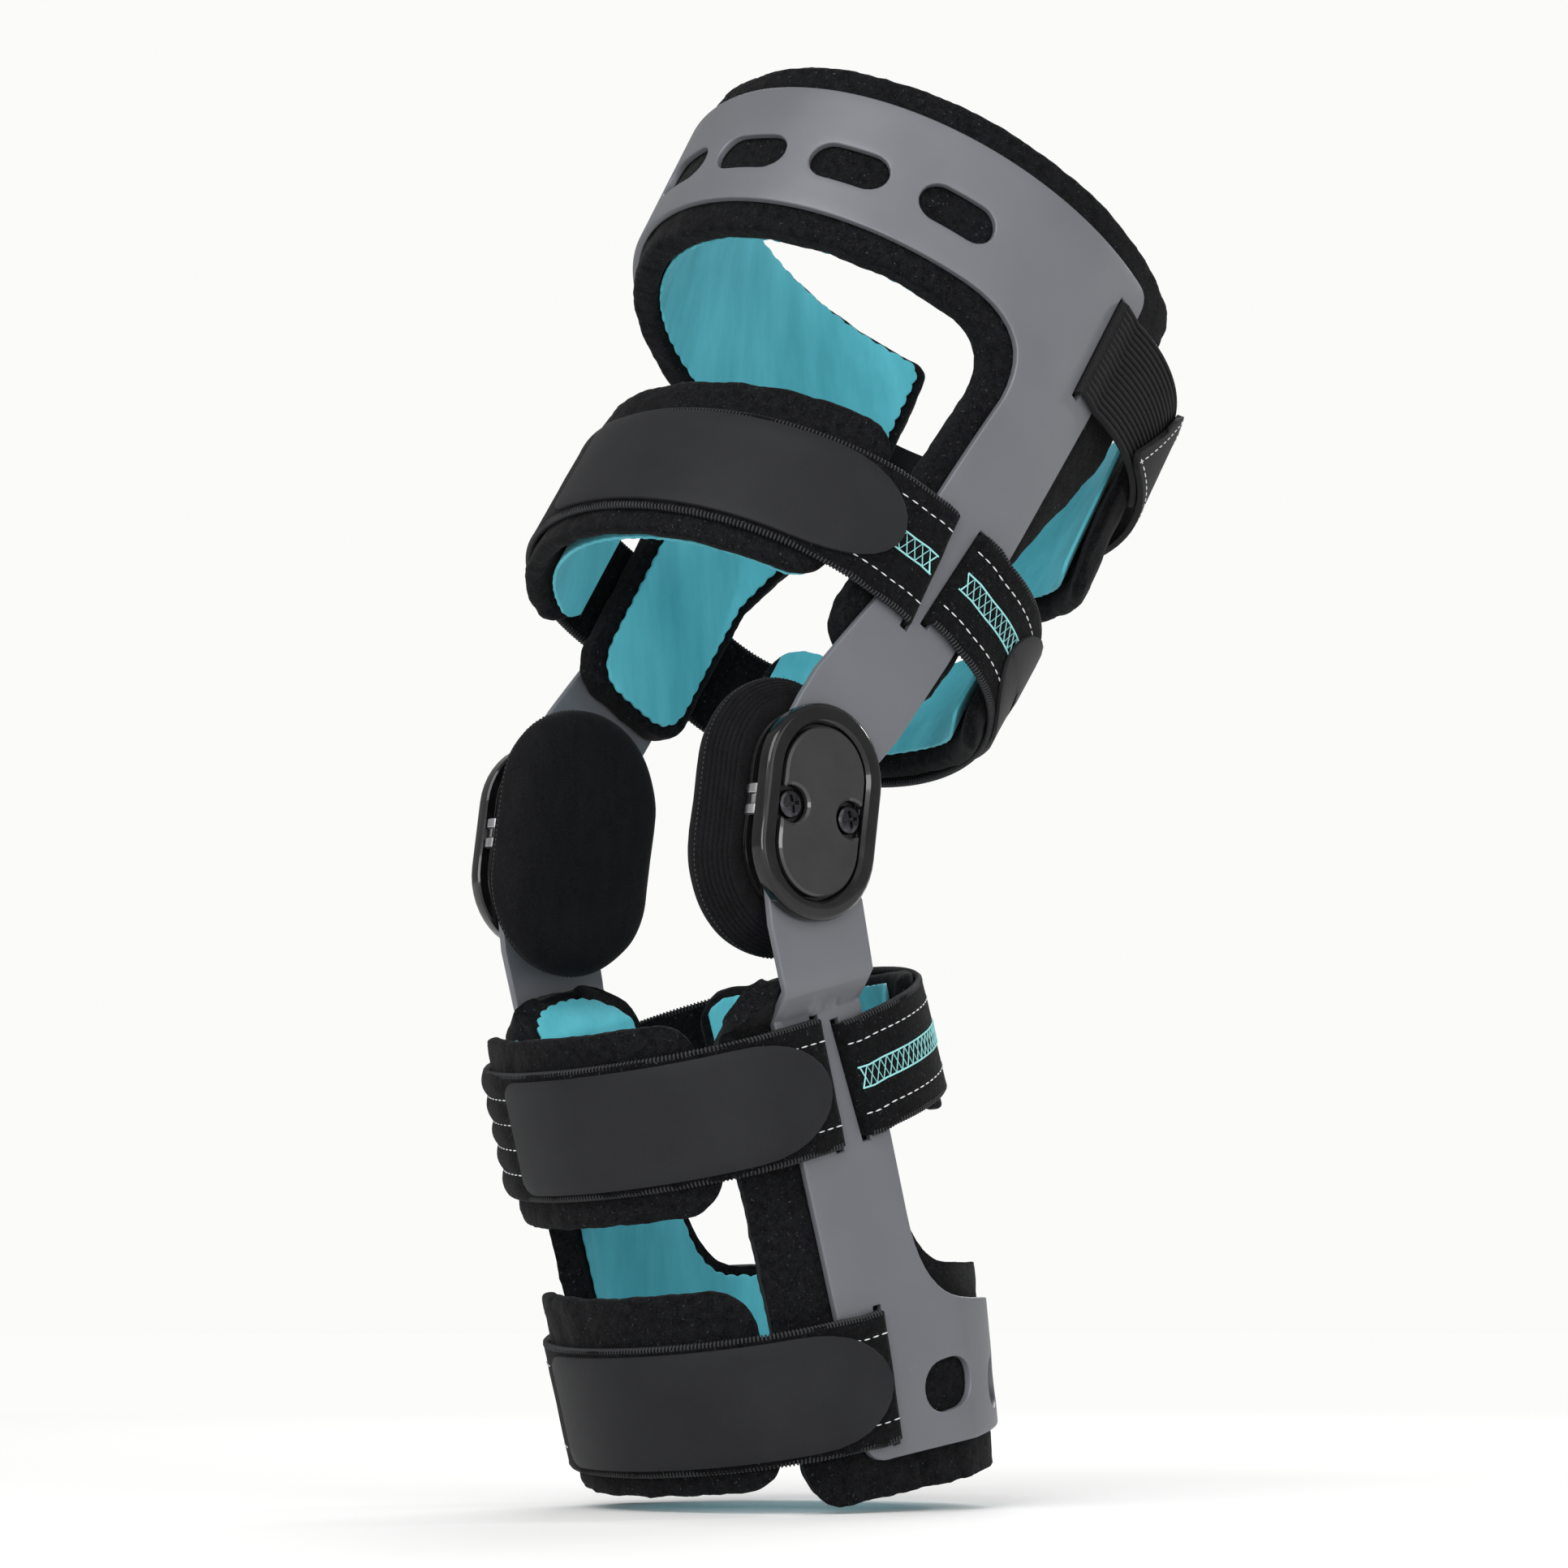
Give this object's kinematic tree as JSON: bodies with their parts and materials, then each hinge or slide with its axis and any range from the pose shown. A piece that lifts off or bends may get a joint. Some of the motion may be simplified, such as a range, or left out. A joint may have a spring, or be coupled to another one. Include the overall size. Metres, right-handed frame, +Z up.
{
  "type": "hinged knee brace",
  "caption": "Rigid hinged knee brace: gray metal thigh and calf frames joined by twin-pivot side hinges, with padded hook-and-loop straps that wrap the leg.",
  "frame": {"origin": "knee centre, midway between the two hinge housings", "axes": "+Z up along the standing leg, knee's front towards -Y, near side with the strap tabs towards +X"},
  "size_m": [0.1562, 0.233, 0.4398],
  "materials": {
    "frame_paint": "satin mid-gray paint on bent aluminium sheet",
    "fleece": "black brushed fleece over foam",
    "lining": "teal soft lining cloth",
    "strap": "black loop-pile strap",
    "tab": "charcoal hook tape, satin back",
    "elastic": "black ribbed elastic webbing",
    "hinge_black": "satin gloss black",
    "steel": "bright steel"
  },
  "bodies": {
    "thigh": {"thigh_frame": "frame_paint", "thigh_liner": "fleece", "thigh_lining": "lining", "back_elastic_near": "elastic", "back_elastic_far": "elastic", "back_strap": "strap", "back_tab": "tab", "back_pad": "fleece", "back_lining": "lining", "front_thigh_strap": "strap", "front_thigh_tab": "tab", "front_thigh_pad": "fleece", "front_thigh_lining": "lining", "rear_thigh_strap": "strap", "rear_thigh_tab": "tab", "rear_thigh_pad": "fleece", "rear_thigh_lining": "lining"},
    "hinge_near": {"hinge_cap_near": "hinge_black", "hinge_plate_near": "hinge_black", "hinge_front_screw_near": "steel", "hinge_rear_screw_near": "steel", "hinge_backplate_near": "steel", "hinge_upper_pivot_near": "steel", "hinge_lower_pivot_near": "steel", "condyle_pad_near": "fleece"},
    "hinge_far": {"hinge_cap_far": "hinge_black", "hinge_plate_far": "hinge_black", "hinge_front_screw_far": "steel", "hinge_rear_screw_far": "steel", "hinge_backplate_far": "steel", "hinge_upper_pivot_far": "steel", "hinge_lower_pivot_far": "steel", "condyle_pad_far": "fleece"},
    "calf": {"calf_frame": "frame_paint", "calf_liner": "fleece", "calf_lining": "lining", "front_calf_strap": "strap", "front_calf_tab": "tab", "front_calf_pad": "fleece", "front_calf_lining": "lining", "rear_calf_strap": "strap", "rear_calf_tab": "tab", "rear_calf_pad": "fleece", "rear_calf_lining": "lining", "shin_strap": "strap", "shin_tab": "tab", "shin_pad": "fleece", "shin_lining": "lining"}
  },
  "joints": [
    {"name": "near_upper_pivot", "type": "hinge", "parent": "thigh", "child": "hinge_near", "pos_m": [0.06345, 0.00216, 0.01535], "axis": [1, 0, 0], "range_deg": [-23, 22]},
    {"name": "near_lower_pivot", "type": "hinge", "parent": "hinge_near", "child": "calf", "pos_m": [0.06345, -0.00216, -0.01535], "axis": [1, 0, 0], "range_deg": [-23, 22]},
    {"name": "far_upper_pivot", "type": "hinge", "parent": "thigh", "child": "hinge_far", "pos_m": [-0.06345, 0.00216, 0.01535], "axis": [1, 0, 0], "range_deg": [-23, 22]}
  ],
  "couplings": [
    {"joint": "near_lower_pivot", "follows": "near_upper_pivot", "ratio": 1},
    {"joint": "far_upper_pivot", "follows": "near_upper_pivot", "ratio": 1}
  ]
}
